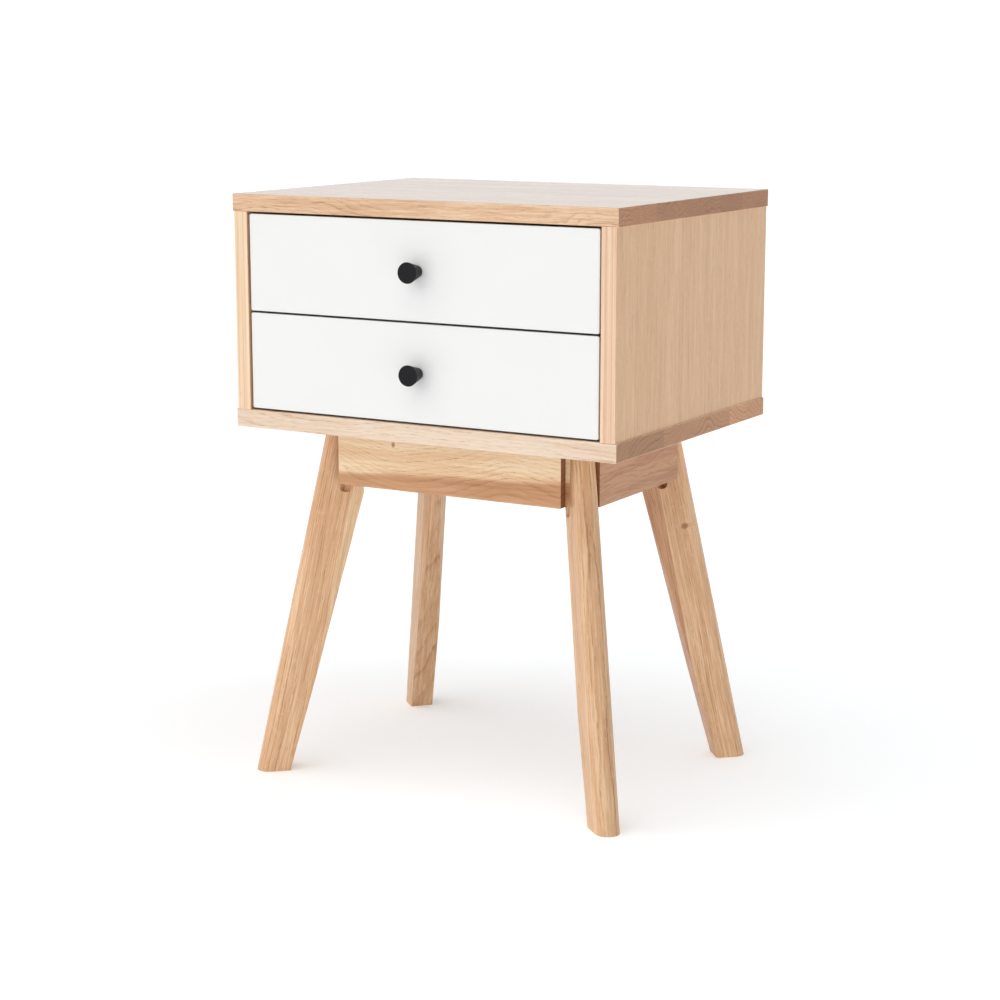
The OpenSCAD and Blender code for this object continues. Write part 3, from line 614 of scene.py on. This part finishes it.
def paint_drawers():
    for drawer, seed in DRAWERS.items():
        front, knob = f"{drawer}_front", f"{drawer}_knob"
        finish_with(front, white_lacquer(f"white_{drawer}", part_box(front), seed))
        finish_with(knob, black_knob(f"black_{drawer}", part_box(knob)))
        for piece, thickness_axis in BOX_PIECES.items():
            node = f"{drawer}_{piece}"
            finish_with(node, birch(f"birch_{node}", thickness_axis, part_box(node)))


def paint_hardware():
    dowel = birch("beech_dowel", X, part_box("case_dowels"))
    runner = metal("runner_steel", srgb(196, 198, 200), 0.34)
    bracket = metal("bracket_steel", srgb(188, 190, 194), 0.4, along=Z)
    zinc = metal("zinc_hardware", srgb(205, 206, 208), 0.3, along=X)
    for node in NODES:
        if node.endswith("dowels"):
            finish_with(node, dowel)
        elif "_rail_" in node:
            finish_with(node, runner)
        elif node == "corner_brackets":
            finish_with(node, bracket)
        elif any(word in node for word in ("screw", "cam_", "bolts", "nuts", "washers")):
            finish_with(node, zinc)


# ---------- eased edges ----------

PANEL_EDGE, APRON_EDGE, FRONT_EDGE = 0.9, 0.8, 0.4       # radii in millimetres
SAME_PLACE = 1e-6                    # corners nearer than this many metres are joined


def ease(node, radius):
    """Rounds a CAD node's sharp edges with modifiers, after joining its split corners."""
    piece = NODES[node]
    weld = piece.modifiers.new("weld", "WELD")
    weld.merge_threshold = SAME_PLACE
    flat = piece.modifiers.new("flat", "DECIMATE")
    flat.decimate_type = "DISSOLVE"
    flat.angle_limit = math.radians(1)
    bevel = piece.modifiers.new("ease", "BEVEL")
    bevel.limit_method = "ANGLE"
    bevel.angle_limit = math.radians(35)
    bevel.width = radius / MM
    bevel.segments = 3
    bevel.use_clamp_overlap = False
    bevel.harden_normals = False
    normals = piece.modifiers.new("normals", "WEIGHTED_NORMAL")
    normals.keep_sharp = False
    normals.weight = 100


def ease_everything():
    for node in PANELS:
        ease(node, PANEL_EDGE)
    for node in APRONS:
        ease(node, APRON_EDGE)
    for drawer in DRAWERS:
        ease(f"{drawer}_front", FRONT_EDGE)


# ---------- studio ----------

SUNS = {                             # direction, width in degrees, strength
    "key": ((-0.25, -0.8, 1.1), 85, 1.25),
    "ceiling": ((-0.15, -0.1, 1.0), 60, 0.3),
}
SKY_HORIZON = 1.06                   # brightness of the surroundings at the horizon
SKY_OVERHEAD = 0.42                  # and high up
SKY_RIGHT_LOSS = 0.5                 # the share that is missing on the right
SKY_LOW_LOSS = 0.55                  # and low down behind the camera

FLOOR_SIZE = 60                      # metres
FLOOR_GLOW_COLOUR = (0.86, 0.95, 1.0, 1)
FLOOR_GLOW = (0.15, 0.28)            # in a painted shadow on the left, and away from it
SHADOW_PATCH_MIDDLE = Vector((-330, 20, 0))  # middle of the painted shadow, in millimetres
SHADOW_PATCH_REACH = (60, 480)               # distances from the middle where it starts and stops fading

CAMERA_PLACE = (1.1944, -2.0574, 0.767)
CAMERA_DOWN = 11.22                  # degrees below the horizon
CAMERA_TURN = 30.14                  # degrees to the left of the Y axis
CAMERA_LENS = 81.0


def make_floor():
    bpy.ops.mesh.primitive_plane_add(size=FLOOR_SIZE)
    floor = bpy.context.object
    floor.name = "floor"
    g = Graph("studio_floor")
    cloud = g.speckle(1 / 300, 3.0)
    colour = g.mix(cloud, srgb(249, 250, 251), srgb(251, 251, 252))
    # Painted shadow: the floor glows less near a middle on the left, so that a grey patch shows
    # there.
    distance = g.vector("LENGTH", g.vector("SUBTRACT", g.point, SHADOW_PATCH_MIDDLE))
    glow = g.between(g.rise(distance, *SHADOW_PATCH_REACH), *FLOOR_GLOW)
    g.put(g.shader.inputs["Emission Strength"], glow)
    floor.data.materials.append(g.finish(colour, 0.8, Specular_IOR_Level=0.1,
                                         Emission_Color=FLOOR_GLOW_COLOUR))


def make_sun(name, direction, angle, strength):
    """Very soft light without falloff, from a direction."""
    data = bpy.data.lights.new(name, "SUN")
    data.angle = math.radians(angle)
    data.energy = strength
    light = bpy.data.objects.new(name, data)
    bpy.context.scene.collection.objects.link(light)
    light.rotation_mode = "QUATERNION"
    light.rotation_quaternion = Vector(direction).to_track_quat("Z", "Y")


def make_world():
    """White surroundings: brightest at the horizon, dimmer overhead, on the right and low down
    behind the camera."""
    world = bpy.data.worlds.new("studio")
    bpy.context.scene.world = world
    world.use_nodes = True
    nodes, links = world.node_tree.nodes, world.node_tree.links
    nodes["Background"].inputs["Color"].default_value = (1, 1, 1, 1)
    direction = nodes.new("ShaderNodeTexCoord").outputs["Generated"]
    split = nodes.new("ShaderNodeSeparateXYZ")
    links.new(direction, split.inputs[0])

    def level(axis, near, far, low, high):
        """A smooth step from low at near to high at far, along an axis of the direction."""
        step = nodes.new("ShaderNodeMapRange")
        step.interpolation_type = "SMOOTHSTEP"
        links.new(split.outputs[axis], step.inputs["Value"])
        values = {"From Min": near, "From Max": far, "To Min": low, "To Max": high}
        for name, value in values.items():
            step.inputs[name].default_value = value
        return step.outputs["Result"]

    def combine(operation, one, two):
        node = nodes.new("ShaderNodeMath")
        node.operation = operation
        links.new(one, node.inputs[0])
        links.new(two, node.inputs[1])
        return node.outputs["Value"]

    brightness = level("Z", 0.1, 0.7, SKY_HORIZON, SKY_OVERHEAD)
    above_horizon = level("Z", 0.05, 0.2, 0.0, 1.0)
    low_down = level("Z", 0.1, 0.35, 1.0, 0.0)
    on_right = combine("MULTIPLY", level("X", 0.1, 0.8, 0.0, SKY_RIGHT_LOSS), above_horizon)
    behind = combine("MULTIPLY", level("Y", -0.7, 0.0, SKY_LOW_LOSS, 0.0), low_down)
    lost = combine("MULTIPLY", brightness, combine("ADD", on_right, behind))
    links.new(combine("SUBTRACT", brightness, lost), nodes["Background"].inputs["Strength"])


def make_studio():
    make_floor()
    make_world()
    for name, sun in SUNS.items():
        make_sun(name, *sun)
    bpy.context.scene.view_settings.view_transform = "Standard"


def make_camera():
    data = bpy.data.cameras.new("camera")
    data.sensor_width = 36
    data.lens = CAMERA_LENS
    data.dof.use_dof = False
    camera = bpy.data.objects.new("camera", data)
    bpy.context.scene.collection.objects.link(camera)
    camera.location = CAMERA_PLACE
    camera.rotation_euler = (math.radians(90 - CAMERA_DOWN), 0, math.radians(CAMERA_TURN))
    bpy.context.scene.camera = camera


make_camera()
paint_case()
paint_base()
paint_legs()
paint_drawers()
paint_hardware()
ease_everything()
make_studio()
